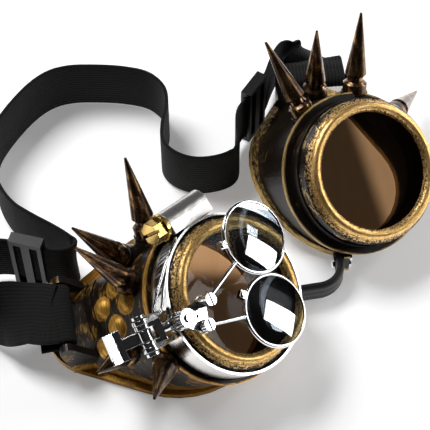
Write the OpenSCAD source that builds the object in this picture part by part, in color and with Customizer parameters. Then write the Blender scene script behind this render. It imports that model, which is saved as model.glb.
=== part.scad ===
// Spiked goggles: two eyecups on a soft nose bridge, an elastic headband with
// slide buckles, and a hose clamp on the left barrel that carries two loupes.
// Each cup is drawn in its own frame: X to the nose, Y to the brow, Z away
// from the face. The lens frame leans out of it, with Z along the barrel.

/* [Lens ring] */
// Step in from the skirt to the rounded bead
bead_step = 1.5; // [1:0.1:2]
// Thickness of the bead
bead_t = 4.2; // [3:0.1:5.5]
// Diameter of the skirt behind the bead
skirt_d = 57; // [55.5:0.5:58]
// Depth of the ring, bead and skirt together
ring_depth = 9; // [7.5:0.5:11]
// Thickness of the tinted lens
lens_t = 1.9; // [1:0.1:2.2]
// Thickness of the rubber gasket behind the lens
gasket_t = 0.7; // [0.4:0.1:1]
// Width of the gasket, from its edge to the bore
gasket_w = 2.1; // [1.5:0.1:3]

/* [Cup] */
// Step out from the ring's skirt to the barrel neck behind it
neck_step = 0.7; // [0.5:0.1:1.2]
// Depth of the barrel, from the bead to the collar
barrel_depth = 17; // [16:0.5:20]
// Step out from the neck to the collar at the foot of the barrel
collar_step = 3; // [2:0.2:4]
// Thickness of the moulded wall
wall = 2.2; // [1.6:0.1:3]
// Height of the lens centre above the rim
lens_height = 39.6; // [37:0.2:44]
// Lean of the barrel towards the nose
barrel_lean = 37.3; // [34:0.1:40]
// Reach of the rim towards the nose
nose_reach = 38; // [36:0.5:42]
// Reach of the rim towards the temple
temple_reach = 43; // [41:0.5:48]
// Half width of the rim on the cheek side
cheek_r = 32; // [30:0.5:35]
// Half width of the rim on the brow side
brow_r = 33; // [31:0.5:36]
// Radius of the rim at the temple
temple_r = 17; // [15:0.5:19]
// Angle by which the brow side of the rim rises
brow_rise = 28; // [15:1:30]
// Width and thickness of the flange round the rim
flange = 2.6; // [1.6:0.1:3.4]

/* [Spikes] */
// Length of the pointed cone
spike_l = 26; // [18:0.5:30]
// Diameter of the cone at its base
spike_d = 8.6; // [7:0.1:9.4]
// Diameter of the foot
spike_foot_d = 9.6; // [8:0.1:10.4]
// Height of the foot
spike_foot_h = 4.6; // [3:0.1:6]

/* [Hose clamp] */
// Width of the steel band
band_w = 10; // [8:0.5:10.5]
// Thickness of the steel band
band_t = 0.8; // [0.6:0.1:1]
// Length of the screw housing
housing_l = 20; // [16:0.5:24]
// Radius of the screw housing
housing_r = 5.2; // [4.8:0.1:6]
// Width of the brass hexagon across its flats
hex_w = 8; // [7:0.1:9]

/* [Loupes] */
// Outside diameter of a loupe
loupe_d = 28; // [24:0.5:30]
// Diameter of the frame wire
loupe_wire = 1.6; // [1.2:0.1:2]
// Thickness of the loupe glass at its edge
loupe_glass_t = 1.2; // [0.8:0.1:1.5]
// Diameter of the arms
arm_wire = 1.4; // [1:0.1:1.8]

/* [Headband] */
// Width of the elastic
strap_w = 25; // [20:0.5:26]
// Thickness of the elastic
strap_t = 1.5; // [1:0.1:1.8]
// Width of a buckle, across the strap
buckle_w = 31; // [30:0.5:34]
// Length of a buckle, along the strap
buckle_l = 13; // [10:0.5:15]

/* [Nose bridge] */
// Height of the soft bridge
bridge_h = 10; // [8:0.5:11]
// Thickness of the soft bridge
bridge_t = 3; // [2:0.1:4]

/* [Hidden] */

fit = 0.1;               // clearance of a seated piece
free = 0.3;              // clearance of a free piece
thin = 0.02;             // thickness of the sheets that a loft joins

black = [0.07, 0.06, 0.05];
gold = [0.62, 0.45, 0.16];
copper = [0.30, 0.20, 0.12];
steel = [0.78, 0.78, 0.76];
brass = [0.85, 0.65, 0.20];
tint = [0.35, 0.24, 0.14, 0.6];
rubber = [0.10, 0.10, 0.10];
glass = [0.75, 0.80, 0.85, 0.4];

// The cups lie on their rims, as goggles taken off and put down
left_at = [-20, -37, 0];
left_turn = 10;
right_at = [44.7, 33.5, 0];
right_turn = -85;

// The lens frame in the cup frame
lens_at = [27.7, -15, lens_height];
lean_turn = -34;
lens_spin = 6.3;

// Depths behind the bead, along the barrel
bead_r = bead_t / 2;
bead_d = skirt_d - 2 * bead_step;
view_d = bead_d - 2 * bead_t + 0.4;
seat_depth = 3.3;
lens_depth = seat_depth + fit;
gasket_depth = lens_depth + lens_t + fit;
spigot_depth = gasket_depth + gasket_t;
neck_depth = ring_depth + free;
collar_t = 2;
band_depth = 3.8;
spigot_d = skirt_d - 3.6;
lens_d = spigot_d - 0.8;
bore_d = lens_d - 2 * gasket_w;
neck_d = skirt_d + 2 * neck_step;
collar_d = neck_d + 2 * collar_step;

// From the middle of the goggles' footprint on the table
centre_shift = [5.5, -1.1, 0];

module placed() {
    translate(centre_shift) children();
}

module left_frame() {
    translate(left_at) rotate([0, 0, left_turn]) children();
}

module right_frame() {
    translate(right_at) rotate([0, 0, right_turn]) mirror([0, 1, 0]) children();
}

module lens_frame() {
    translate(lens_at)
        rotate([0, 0, lean_turn]) rotate([0, barrel_lean, 0]) rotate([0, 0, lens_spin - lean_turn]) children();
}

// Half of an egg outline: a wide arc at the nose, a small one at the temple,
// and the straight lines that touch both. side is 1 for the brow, -1 for the cheek.
function half_egg(big_r, grow, side) =
    let (r = big_r + grow, s = temple_r + grow, bx = nose_reach - big_r, sx = temple_r - temple_reach)
    let (touch = asin((r - s) / (bx - sx)))
    concat(
        [for (i = [0 : 12]) let (a = i * (90 + touch) / 12) [bx + r * cos(a), side * r * sin(a)]],
        [for (i = [0 : 8]) let (a = 90 + touch + i * (90 - touch) / 8) [sx + s * cos(a), side * s * sin(a)]]);

// The folded sheet of the rim, flat on the cheek side and raised on the brow side
module rim_sheet(grow, t) {
    linear_extrude(t) polygon(half_egg(cheek_r, grow, -1));
    rotate([brow_rise, 0, 0]) linear_extrude(t) polygon(half_egg(brow_r, grow, 1));
}

module barrel_disc(d, depth) {
    lens_frame() translate([0, 0, -depth]) cylinder(h = thin, d = d, $fn = 64);
}

// Spike places: angle round the barrel from the temple, depth, radius of the
// seat, lift towards the lens and swing round the barrel
left_spike_places = [
    [56, 27, 34.5, 28, 4],
    [36, 33, 36.5, 30, -20],
    [17, 25, 32.6, 22, 6],
    [-24, 33.4, 34.8, 36, 5],
    [-41, 20, 31.9, 40, 7]
];
right_spike_places = [
    [48, 22, 31.4, 11, -4],
    [23, 34, 35.1, 45, 11],
    [6, 19, 33.4, 29, 12],
    [-32, 24, 33, -36, -20]
];
boss_l = 9;
stud_r = 1.5;

// Moulded domes between the spikes: angle, depth and radius of the wall there
domes = [[6, 42, 35], [19, 36, 33.5], [-8, 34.5, 34.2], [6, 28, 32.7], [-19, 44, 35.5]];
dome_r = 4.6;
// The two ridges across the wall beside the lug: where they cross it
ridges = [[-26.6, 20.1], [-29.6, 16.9]];
ridge_h = 0.8;
wall_slope = 49.5;

module at_spike(s) {
    lens_frame() rotate([0, 0, 180 - s[0]]) translate([s[2], 0, -s[1]])
        rotate([0, 0, -s[4]]) rotate([0, 90 - s[3], 0]) children();
}

module strap_bar_frame() {
    translate([lug_x, lug_y, lug_z]) rotate([90, 0, 0]) children();
}
lug_x = -38;
lug_y = -1;
lug_z = 16.5;
bar_r = 1.6;
ear_t = 3;
lug_gap = strap_w + 2;

module lug_ears() {
    for (side = [-1, 1])
        hull() {
            strap_bar_frame() translate([0, 0, side * (lug_gap + ear_t) / 2])
                cylinder(h = ear_t, r = 3.2, center = true, $fn = 24);
            translate([lug_x + 8, lug_y - side * (lug_gap + ear_t) / 2, 4])
                cube([14, ear_t, 5], center = true);
        }
}

// The outside of the moulded shell
module shell(grow) {
    hull() {
        barrel_disc(collar_d - 3 + 2 * grow, barrel_depth - collar_t / 2);
        rim_sheet(grow, thin);
    }
}

module wall_relief() {
    for (d = domes)
        lens_frame() rotate([0, 0, 180 - d[0]]) translate([d[2] - dome_r / 2, 0, -d[1]]) sphere(r = dome_r, $fn = 40);
    intersection() {
        shell(ridge_h);
        for (r = ridges)
            translate([r[0], 1, r[1]]) rotate([0, -wall_slope, 0]) cube([1, 27, 6], center = true);
    }
}

module cavity() {
    hull() {
        barrel_disc(bore_d + 4, barrel_depth + 1);
        translate([0, 0, -0.5]) rim_sheet(-wall, thin);
    }
    translate([0, 0, -1]) rim_sheet(-wall, flange + 3);
}

// Raised seat under each spike
module bosses(places) {
    for (s = places)
        at_spike(s) {
            translate([0, 0, -boss_l]) cylinder(h = boss_l, d = spike_foot_d + 1, $fn = 40);
            translate([0, 0, -boss_l]) cylinder(h = boss_l - 1, d1 = spike_foot_d + 6, d2 = spike_foot_d + 1, $fn = 40);
        }
}

module cup(places) {
    difference() {
        union() {
            difference() {
                union() {
                    shell(0);
                    wall_relief();
                    rim_sheet(flange, flange);
                    bosses(places);
                    lug_ears();
                }
                cavity();
                translate([-100, -100, -50]) cube([200, 200, 50]);
            }
            lens_frame() translate([0, 0, -barrel_depth]) {
                cylinder(h = collar_t, d = collar_d, $fn = 96);
                cylinder(h = barrel_depth - neck_depth, d = neck_d, $fn = 96);
                cylinder(h = barrel_depth - spigot_depth, d = spigot_d, $fn = 96);
            }
        }
        lens_frame() translate([0, 0, -barrel_depth - 4]) cylinder(h = barrel_depth + 5, d = bore_d, $fn = 96);
        for (s = places)
            at_spike(s) {
                translate([0, 0, -boss_l - 6]) cylinder(h = boss_l + 7, r = stud_r + fit, $fn = 24);
                cylinder(h = 8, d = spike_foot_d + 2 * free, $fn = 40);
            }
    }
    strap_bar_frame() cylinder(h = lug_gap + ear_t, r = bar_r, center = true, $fn = 32);
    nose_tab();
}

module ring() {
    color(gold) lens_frame() difference() {
        union() {
            translate([0, 0, -bead_r]) rotate_extrude($fn = 96)
                translate([bead_d / 2 - bead_r, 0]) circle(r = bead_r, $fn = 32);
            translate([0, 0, -seat_depth - 0.5]) cylinder(h = seat_depth - 0.6, r = bead_d / 2 - bead_r, $fn = 96);
            translate([0, 0, -ring_depth]) cylinder(h = ring_depth - bead_t, d = skirt_d, $fn = 96);
            translate([0, 0, -bead_t]) cylinder(h = 1.4, d1 = skirt_d, d2 = bead_d - 0.4, $fn = 96);
        }
        translate([0, 0, -ring_depth - 1]) cylinder(h = ring_depth + 2, d = view_d, $fn = 96);
        translate([0, 0, -ring_depth - 1]) cylinder(h = ring_depth + 1 - seat_depth, d = spigot_d + 2 * fit, $fn = 96);
    }
}

module lens() {
    color(tint) lens_frame() translate([0, 0, -lens_depth - lens_t])
        cylinder(h = lens_t, d = lens_d, $fn = 96);
}

module gasket() {
    color(rubber) lens_frame() translate([0, 0, -gasket_depth - gasket_t + fit / 2]) difference() {
        cylinder(h = gasket_t - fit / 2, d = lens_d, $fn = 96);
        translate([0, 0, -1]) cylinder(h = gasket_t + 2, d = bore_d, $fn = 96);
    }
}

module spike() {
    neck_h = 2;
    translate([0, 0, -boss_l + 3]) cylinder(h = boss_l, r = stud_r, $fn = 24);
    translate([0, 0, 0]) cylinder(h = spike_foot_h - 1, d = spike_foot_d, $fn = 40);
    translate([0, 0, spike_foot_h - 1]) cylinder(h = 1, d1 = spike_foot_d, d2 = spike_foot_d - 2.4, $fn = 40);
    translate([0, 0, spike_foot_h - 0.5]) cylinder(h = neck_h + 1, d = spike_d - 2.4, $fn = 40);
    translate([0, 0, spike_foot_h + neck_h]) cylinder(h = 1, d1 = spike_d - 1.4, d2 = spike_d, $fn = 40);
    translate([0, 0, spike_foot_h + neck_h + 1]) cylinder(h = spike_l - 1, d1 = spike_d, d2 = 1, $fn = 40);
}

module spike_set(places) {
    color(copper) for (s = places)
        at_spike(s) translate([0, 0, fit]) spike();
}

// Frame of a piece on the clamp: X outwards, Y round the barrel, Z to the front
module round_barrel(angle) {
    lens_frame() rotate([0, 0, 180 - angle]) children();
}

band_r = neck_d / 2 + free;
band_mid = band_depth + band_w / 2;
housing_turn = 64;
screw_r = 3.4;
screw_x = band_r + band_t + screw_r + 1;

module clamp_band() {
    slot_step = 4;
    color(steel) difference() {
        lens_frame() translate([0, 0, -band_depth - band_w]) difference() {
            cylinder(h = band_w, r = band_r + band_t, $fn = 96);
            translate([0, 0, -1]) cylinder(h = band_w + 2, r = band_r, $fn = 96);
        }
        for (i = [0 : 9])
            round_barrel(40 - i * slot_step) translate([band_r, 0, -band_mid])
                rotate([20, 0, 0]) cube([4, 1, band_w * 0.55], center = true);
    }
}

module clamp_housing() {
    color(steel) round_barrel(housing_turn) translate([0, 0, -band_mid]) difference() {
        union() {
            translate([screw_x, 0, 0]) rotate([90, 0, 0])
                cylinder(h = housing_l, r = housing_r, center = true, $fn = 48);
            translate([(screw_x + band_r + band_t + fit) / 2, 0, 0])
                cube([screw_x - band_r - band_t - fit, housing_l, 2 * housing_r], center = true);
        }
        translate([screw_x, 0, 0]) rotate([90, 0, 0])
            cylinder(h = housing_l + 2, r = screw_r + fit, center = true, $fn = 48);
        lens_clear(housing_l);
    }
}

// Room under the housing for the band, which is round
module lens_clear(l) {
    cylinder(h = 40, r = band_r + band_t + fit, center = true, $fn = 96);
}

module clamp_screw() {
    head_y = housing_l / 2 + free;
    color(brass) round_barrel(housing_turn) translate([screw_x, 0, -band_mid]) rotate([-90, 0, 0]) {
        translate([0, 0, -housing_l / 2 - 1]) cylinder(h = housing_l + 1.5, r = screw_r, $fn = 48);
        translate([0, 0, head_y]) cylinder(h = 1.4, r = hex_w * 0.66, $fn = 48);
        difference() {
            translate([0, 0, head_y + 1.4]) cylinder(h = 4.6, r = hex_w / sqrt(3), $fn = 6);
            translate([0, 0, head_y + 5.6]) cube([1.2, 12, 2], center = true);
        }
    }
}

// Points on the smooth curve through a list of points, steps to each span
function spline(p, steps) = [
    for (i = [0 : len(p) - 2], k = [0 : steps - 1])
        let (t = k / steps, a = p[max(i - 1, 0)], b = p[i], c = p[i + 1], d = p[min(i + 2, len(p) - 1)])
        (2 * b + (c - a) * t + (2 * a - 5 * b + 4 * c - d) * t * t + (3 * b - a - 3 * c + d) * t * t * t) / 2,
    p[len(p) - 1]];

function unit(v) = v / norm(v);

function tangent(p, i) = unit(p[min(i + 1, len(p) - 1)] - p[max(i - 1, 0)]);

// A closed skin over rings that have the same number of points
module skin(rings) {
    n = len(rings[0]);
    last = len(rings) - 1;
    polyhedron(
        points = [for (r = rings, p = r) p],
        faces = concat(
            [[for (k = [0 : n - 1]) k]],
            [[for (k = [n - 1 : -1 : 0]) last * n + k]],
            [for (i = [0 : last - 1], k = [0 : n - 1]) let (m = (k + 1) % n)
                [i * n + k, (i + 1) * n + k, i * n + m]],
            [for (i = [0 : last - 1], k = [0 : n - 1]) let (m = (k + 1) % n)
                [i * n + m, (i + 1) * n + k, (i + 1) * n + m]]));
}

// A round wire along a curve; across is a direction that the curve never takes
module wire(points, d, across, sides = 8) {
    skin([for (i = [0 : len(points) - 1])
        let (t = tangent(points, i), u = unit(cross(t, across)), v = cross(u, t))
        [for (k = [0 : sides - 1]) let (a = -k * 360 / sides)
            points[i] + d / 2 * (cos(a) * u + sin(a) * v)]]);
}

// A flat band along a curve; edges gives the direction of its width at each point
module band(points, edges, w, t) {
    skin([for (i = [0 : len(points) - 1])
        let (f = tangent(points, i), e = unit(edges[i] - (edges[i] * f) * f), n = cross(f, e))
        [points[i] - e * w / 2 - n * t / 2, points[i] + e * w / 2 - n * t / 2,
         points[i] + e * w / 2 + n * t / 2, points[i] - e * w / 2 + n * t / 2]]);
}

// A point at an angle from the temple, a distance out from the clamp band and a height
function on_barrel(angle, out, z) =
    let (r = band_r + band_t + out) [r * cos(180 - angle), r * sin(180 - angle), z];

module spring_wire() {
    color(steel) lens_frame() wire(spline([
        on_barrel(44, 0.8, -5),
        on_barrel(38, 2.1, 0.2),
        on_barrel(24, 3.3, 1.4),
        on_barrel(8, 5.3, 1),
        on_barrel(-4, 8.5, 0.2),
        on_barrel(-8, 9.1, 0),
        on_barrel(-9, 7.1, 0),
        on_barrel(-5, 5.3, 0.2),
        on_barrel(2, 4.3, 0.6),
        on_barrel(14, 3.1, 1)], 3), 1.1, [0, 0, 1]);
}

clip_turn = -17;
pivot_z = -3;
pin_r = 1.4;
ear_y = 5;
base_x = band_r + band_t + fit;
pivot_x = base_x + 13.6;

module clip_base() {
    color(steel) round_barrel(clip_turn) difference() {
        union() {
            translate([base_x, -ear_y - 1, -band_mid - 4]) cube([5, 2 * ear_y + 2, 8]);
            for (side = [-1, 1])
                hull() {
                    translate([pivot_x, side * ear_y, pivot_z]) rotate([90, 0, 0])
                        cylinder(h = 1.6, r = 3, center = true, $fn = 32);
                    translate([base_x + 3, side * ear_y, -band_mid]) cube([3, 1.6, 8], center = true);
                }
        }
        translate([pivot_x, 0, pivot_z]) rotate([90, 0, 0])
            cylinder(h = 30, r = pin_r + fit / 2, center = true, $fn = 32);
        cylinder(h = 60, r = band_r + band_t + fit, center = true, $fn = 96);
    }
}

module clip_pin() {
    color(steel) round_barrel(clip_turn) translate([pivot_x, 0, pivot_z]) rotate([90, 0, 0]) {
        cylinder(h = 2 * ear_y + 4, r = pin_r, center = true, $fn = 32);
        for (side = [-1, 1])
            translate([0, 0, side * (ear_y + 1.8)]) cylinder(h = 1.2, r = 2.4, center = true, $fn = 32);
    }
}

module clip_lever() {
    color(steel) round_barrel(clip_turn) translate([pivot_x, 0, pivot_z]) difference() {
        union() {
            rotate([90, 0, 0]) cylinder(h = 2 * ear_y - 6, r = 2.6, center = true, $fn = 32);
            rotate([0, 40, 0]) translate([0, -5.5, -1]) cube([13, 11, 1.2]);
            rotate([0, 40, 0]) translate([11, -5.5, -1]) rotate([0, -40, 0]) cube([4, 11, 1.2]);
        }
        rotate([90, 0, 0]) cylinder(h = 30, r = pin_r + fit / 2, center = true, $fn = 32);
        for (side = [-1, 1])
            translate([0, side * 7.1, 0]) cube([12.6, 10, 12], center = true);
    }
}

// The arm runs from the clip to a post beside the lens, in the clip's own frame
post_at = [bead_d / 2 + 6, 0, 3];
post_r = 1.5;
upper_pivot = [post_at[0] - 10.7, -2.7];
lower_pivot = [post_at[0] - 8.2, 5.3];
plate_z = 3.4;
plate_t = 1.4;
eye_t = 1.6;
upper_z = 9;
lower_z = 6;
hinge_r = 1.1;

module arm_shaft() {
    reach = post_at[0] - pivot_x;
    rise = post_at[2] - pivot_z - 1.4;
    color(steel) round_barrel(clip_turn) difference() {
        union() {
            for (side = [-1, 1])
                translate([pivot_x, side * 3.2, pivot_z]) rotate([90, 0, 0])
                    cylinder(h = 1.6, r = 2.8, center = true, $fn = 32);
            translate([pivot_x, 0, pivot_z]) rotate([0, atan2(rise, -reach), 0]) {
                translate([-5.2, 0, 0]) cube([2.6, 8, 4.4], center = true);
                for (side = [-1, 1])
                    translate([-2.4, side * 3.2, 0]) cube([4.8, 1.6, 4], center = true);
                translate([-norm([reach, rise]), 0, 0]) rotate([0, 90, 0])
                    cylinder(h = norm([reach, rise]) - 5, r = 1.7, $fn = 32);
            }
            translate([post_at[0], 0, post_at[2] - 2.6]) cylinder(h = 2.9, r = 3.4, $fn = 40);
            translate([post_at[0], 0, post_at[2]]) cylinder(h = 7.4, r = post_r, $fn = 32);
        }
        translate([pivot_x, 0, pivot_z]) rotate([90, 0, 0])
            cylinder(h = 30, r = pin_r + fit / 2, center = true, $fn = 32);
    }
}

// A flat bar between two points
module bar(a, b, w, t) {
    v = b - a;
    translate([a[0], a[1], 0]) rotate([0, 0, atan2(v[1], v[0])])
        translate([0, -w / 2, 0]) cube([norm(v), w, t]);
}

module hinge_screw(at, z) {
    translate([at[0], at[1], plate_z]) {
        cylinder(h = z - eye_t / 2 - 0.1 - plate_z, r = 1.9, $fn = 32);
        cylinder(h = z + eye_t / 2 + 0.4 - plate_z, r = hinge_r, $fn = 32);
        translate([0, 0, z + eye_t / 2 + 0.1 - plate_z]) difference() {
            cylinder(h = 1.4, r = 2.3, $fn = 32);
            translate([0, 0, 1.2]) cube([0.6, 5, 1], center = true);
        }
    }
}

module arm_hub() {
    post = [post_at[0], post_at[1]];
    color(steel) round_barrel(clip_turn) difference() {
        union() {
            translate([0, 0, plate_z]) bar(post, upper_pivot, 4.4, plate_t);
            translate([0, 0, plate_z]) bar(post, lower_pivot, 4.2, plate_t);
            translate([0, 0, plate_z]) bar(upper_pivot, lower_pivot, 4, plate_t);
            for (p = [upper_pivot, lower_pivot])
                translate([p[0], p[1], plate_z]) cylinder(h = plate_t, d = 5, $fn = 32);
            translate([post[0], post[1], plate_z]) cylinder(h = 2.6, r = 3.2, $fn = 40);
            hinge_screw(upper_pivot, upper_z);
            hinge_screw(lower_pivot, lower_z);
        }
        translate([post[0], post[1], 0]) cylinder(h = 20, r = post_r + fit / 2, $fn = 32);
    }
}

module thumb_nut() {
    teeth = 20;
    r = 3.6;
    color(steel) round_barrel(clip_turn) translate([post_at[0], post_at[1], plate_z + 2.7]) difference() {
        linear_extrude(3.4)
            polygon([for (i = [0 : 2 * teeth - 1]) (i % 2 == 0 ? r : r - 0.35)
                * [cos(i * 180 / teeth), sin(i * 180 / teeth)]]);
        translate([0, 0, -1]) cylinder(h = 6, r = post_r + fit / 2, $fn = 32);
    }
}

// A loupe in its own plane: centre, hinge and height over the lens frame
upper_loupe_at = [-7.6, -16.3];
lower_loupe_at = [-5.6, 11.1];

// The middle of the frame wire, and the direction of the closing tab
loupe_mid_r = (loupe_d - loupe_wire) / 2;
groove = 0.35;
tab_turn = 32;

module loupe_frame(centre, pivot, z) {
    to = unit(pivot - centre);
    edge = centre + to * loupe_mid_r;
    arm = pivot - edge;
    color(steel) round_barrel(clip_turn) translate([0, 0, z]) {
        translate([centre[0], centre[1], 0]) {
            rotate_extrude($fn = 72) translate([loupe_mid_r, 0]) difference() {
                circle(d = loupe_wire, $fn = 24);
                translate([-loupe_wire, 0]) square([2 * groove + loupe_wire, loupe_glass_t + fit], center = true);
            }
            rotate([0, 0, atan2(to[1], to[0]) - tab_turn]) translate([loupe_mid_r + 1.7, 0, 0])
                cube([2.8, 2.8, 2.2], center = true);
        }
        difference() {
            union() {
                translate([pivot[0], pivot[1], -eye_t / 2]) cylinder(h = eye_t, r = 2.3, $fn = 32);
                translate([edge[0], edge[1], 0]) rotate([0, 0, atan2(arm[1], arm[0])]) rotate([0, 90, 0])
                    translate([0, 0, loupe_wire / 4]) cylinder(h = norm(arm) - loupe_wire / 4, d = arm_wire, $fn = 20);
            }
            translate([pivot[0], pivot[1], -5]) cylinder(h = 10, r = hinge_r + fit / 2, $fn = 32);
        }
    }
}

// Glass with two bulging faces
module glass_solid() {
    r = loupe_mid_r - loupe_wire / 2 + groove - fit / 2;
    h = loupe_glass_t / 2;
    bulge = 1.1;
    n = 8;
    rotate_extrude($fn = 72) polygon(concat(
        [for (i = [0 : n]) [r * i / n, -h - bulge * (1 - i * i / n / n)]],
        [for (i = [n : -1 : 0]) [r * i / n, h + bulge * (1 - i * i / n / n)]]));
}

module loupe_glass(centre, z) {
    color(glass) round_barrel(clip_turn) translate([centre[0], centre[1], z]) glass_solid();
}

module loupe_screw(centre, pivot, z) {
    to = pivot - centre;
    color(steel) round_barrel(clip_turn) translate([centre[0], centre[1], z + 1.1 + fit / 2])
        rotate([0, 0, atan2(to[1], to[0]) - tab_turn]) translate([loupe_mid_r + 1.9, 0, 0])
            cylinder(h = 1, r = 1.1, $fn = 24);
}

// The soft bridge: straight beside each cup's tab, and one bend between them
tab_t = 2.4;
tab_y = -3.2;
tab_reach = 16.2;        // past the collar's radius, clear of the wall below it
tab_end = collar_d / 2 + tab_reach;
bridge_start = tab_end - 3.4;
bridge_z = 1;
bridge_bend = 10;
bridge_y = tab_y + tab_t / 2 + fit + bridge_t / 2;
rivet_x = tab_end - 2.2;
rivet_r = 1;

function turned(v, a) = [v[0] * cos(a) - v[1] * sin(a), v[0] * sin(a) + v[1] * cos(a)];

module nose_tab() {
    difference() {
        translate([tab_end - 14.4, tab_y - tab_t / 2, bridge_z]) cube([14.4, tab_t, bridge_h]);
        rivet_holes();
    }
}

module rivet_holes() {
    for (z = [0.27, 0.73])
        translate([rivet_x, bridge_y, bridge_z + z * bridge_h]) rotate([90, 0, 0])
            cylinder(h = 30, r = rivet_r + fit / 2, center = true, $fn = 24);
}

// Outline of a strip of thickness t along a path
function strip(path, t) = concat(
    [for (i = [0 : len(path) - 1]) path[i] + t / 2 * turned(tangent(path, i), 90)],
    [for (i = [len(path) - 1 : -1 : 0]) path[i] - t / 2 * turned(tangent(path, i), 90)]);

// The path of the bridge in the left cup's frame, from one tab to the other
function bridge_path() =
    let (sweep = 180 + right_turn - left_turn, start = [tab_end, bridge_y])
    let (right_end = turned([start[0], -start[1]], right_turn))
    let (gap = turned([right_at[0] + right_end[0] - left_at[0], right_at[1] + right_end[1] - left_at[1]], -left_turn))
    let (d = gap - start)
    let (after = (d[1] - bridge_bend * (1 - cos(sweep))) / sin(sweep))
    let (before = d[0] - bridge_bend * sin(sweep) - after * cos(sweep), steps = 16)
    concat([[bridge_start, bridge_y], [tab_end, bridge_y]],
        [for (i = [0 : steps]) let (a = i * sweep / steps)
            start + [before + bridge_bend * sin(a), bridge_bend * (1 - cos(a))]],
        [gap, gap - (tab_end - bridge_start) * [-cos(sweep), -sin(sweep)]]);

module nose_bridge() {
    color(rubber) difference() {
        left_frame() translate([0, 0, bridge_z]) linear_extrude(bridge_h) polygon(strip(bridge_path(), bridge_t));
        left_frame() rivet_holes();
        right_frame() rivet_holes();
    }
}

module rivets() {
    color(brass) for (z = [0.27, 0.73])
        translate([rivet_x, 0, bridge_z + z * bridge_h]) rotate([-90, 0, 0]) {
            translate([0, 0, tab_y - tab_t / 2 - 0.8]) cylinder(h = bridge_y + bridge_t / 2 - tab_y + tab_t / 2 + 1.6,
                r = rivet_r, $fn = 24);
            translate([0, 0, bridge_y + bridge_t / 2 + fit]) cylinder(h = 0.9, r = 1.9, $fn = 24);
            translate([0, 0, tab_y - tab_t / 2 - 0.9 - fit]) cylinder(h = 0.9, r = 1.9, $fn = 24);
        }
}

// The headband stands on its edge. Points are at mid width.
mid_z = strap_w / 2 + free;
buckle_z = buckle_w / 2 + free;
left_buckle_at = [-72, -19.5];
left_buckle_turn = -14;
right_buckle_at = [16, 57];
right_buckle_turn = 58;
straight = buckle_l / 2 + 2;

function along(at, turn, l) = [at[0] + l * cos(turn), at[1] + l * sin(turn)];

long_route = [
    left_buckle_at, along(left_buckle_at, left_buckle_turn, straight),
    [-57.5, -21.5], [-54.6, -18.5], [-56.5, -14], [-63, -8.5], [-72, -3], [-80, 3],
    [-86, 12], [-90, 24], [-91, 36], [-87, 47], [-79, 60], [-71, 68], [-62, 71.5], [-50, 72], [-38, 71],
    [-28, 68], [-21.5, 61], [-20, 52], [-21.5, 42], [-21, 33], [-16, 27], [-8, 24], [1, 25], [7.5, 28.5],
    [11, 35], [11.4, 42],
    along(right_buckle_at, right_buckle_turn, -straight), right_buckle_at];

// The strap rises to the middle of the buckle over its last few points
function risen(i, n) = mid_z + (buckle_z - mid_z) * max(0, 1 - max(0, min(i, n - 1 - i) - 1) / 4);

module strap_long() {
    n = len(long_route);
    route = spline([for (i = [0 : n - 1]) [long_route[i][0], long_route[i][1], risen(i, n)]], 2);
    color(rubber) band(route, [for (p = route) [0, 0, 1]], strap_w, strap_t);
}

// An end of the headband leaves its buckle, lays itself flat and goes round
// the bar of the lug. Each point is followed by the direction of the width.
wrap_r = bar_r + 2 * free + strap_t / 2;

module strap_end(points, edges) {
    color(rubber) band(spline(points, 6), spline(edges, 6), strap_w, strap_t);
}

// Points round the bar of a cup's lug, from above to below and out as a tail
function round_bar(at, turn, flip, tail) =
    let (c = turned([lug_x, flip * lug_y], turn), out = turned([-1, 0], turn))
    [for (p = [[5, 0.95 * wrap_r], [2.3, wrap_r], [0, wrap_r], [-0.71 * wrap_r, 0.71 * wrap_r], [-wrap_r, 0],
            [-0.71 * wrap_r, -0.71 * wrap_r], [0, -wrap_r], [2.3, -wrap_r], [5, -wrap_r], [tail, -wrap_r - 0.4]])
        [at[0] + c[0] + out[0] * p[0], at[1] + c[1] + out[1] * p[0], lug_z + p[1]]];

module strap_left_end() {
    a = along(left_buckle_at, left_buckle_turn, -free);
    b = along(a, left_buckle_turn, -straight);
    flat = concat(turned([0, 1], left_turn), [0]);
    up = [0, 0, 1];
    strap_end(concat([[a[0], a[1], buckle_z], [b[0], b[1], buckle_z],
            [-88, -18, buckle_z], [-94, -22, 15], [-97, -29, 14], [-95, -36, 13.5], [-90, -40.5, 13.5],
            [-84, -42, 14], [-79, -42.5, 15], [-74, -43, 16], [-68, -43.6, 17.5]],
            round_bar(left_at, left_turn, 1, 10)),
        concat([up, up, up, up, up, up, [0, 0.2, 1], [0, 0.55, 0.8], [0, 0.85, 0.55], [0, 0.97, 0.25], flat],
            [for (i = [1 : 10]) flat]));
}

module strap_right_end() {
    a = along(right_buckle_at, right_buckle_turn, free);
    b = along(a, right_buckle_turn, straight);
    flat = concat(turned([0, -1], right_turn), [0]);
    up = [0, 0, 1];
    strap_end(concat([[a[0], a[1], buckle_z], [b[0], b[1], buckle_z],
            [23.2, 72, buckle_z], [25.4, 78.4, 15], [28.2, 83.4, 14.2], [32.2, 86.8, 13.9], [37.8, 89.7, 14.9],
            [41.2, 84.5, 14.2], [41.6, 81.3, 16.3], [41.8, 79.4, 17.9]],
            round_bar(right_at, right_turn, -1, 8)),
        concat([up, up, up, up, up, [0, -0.34, 0.94], [-0.25, -0.46, 0.85], [-0.56, -0.73, 0.39],
            [-0.93, -0.33, 0.18], [-0.8, -0.5, 0.22]],
            [for (i = [1 : 10]) flat]));
}

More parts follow.
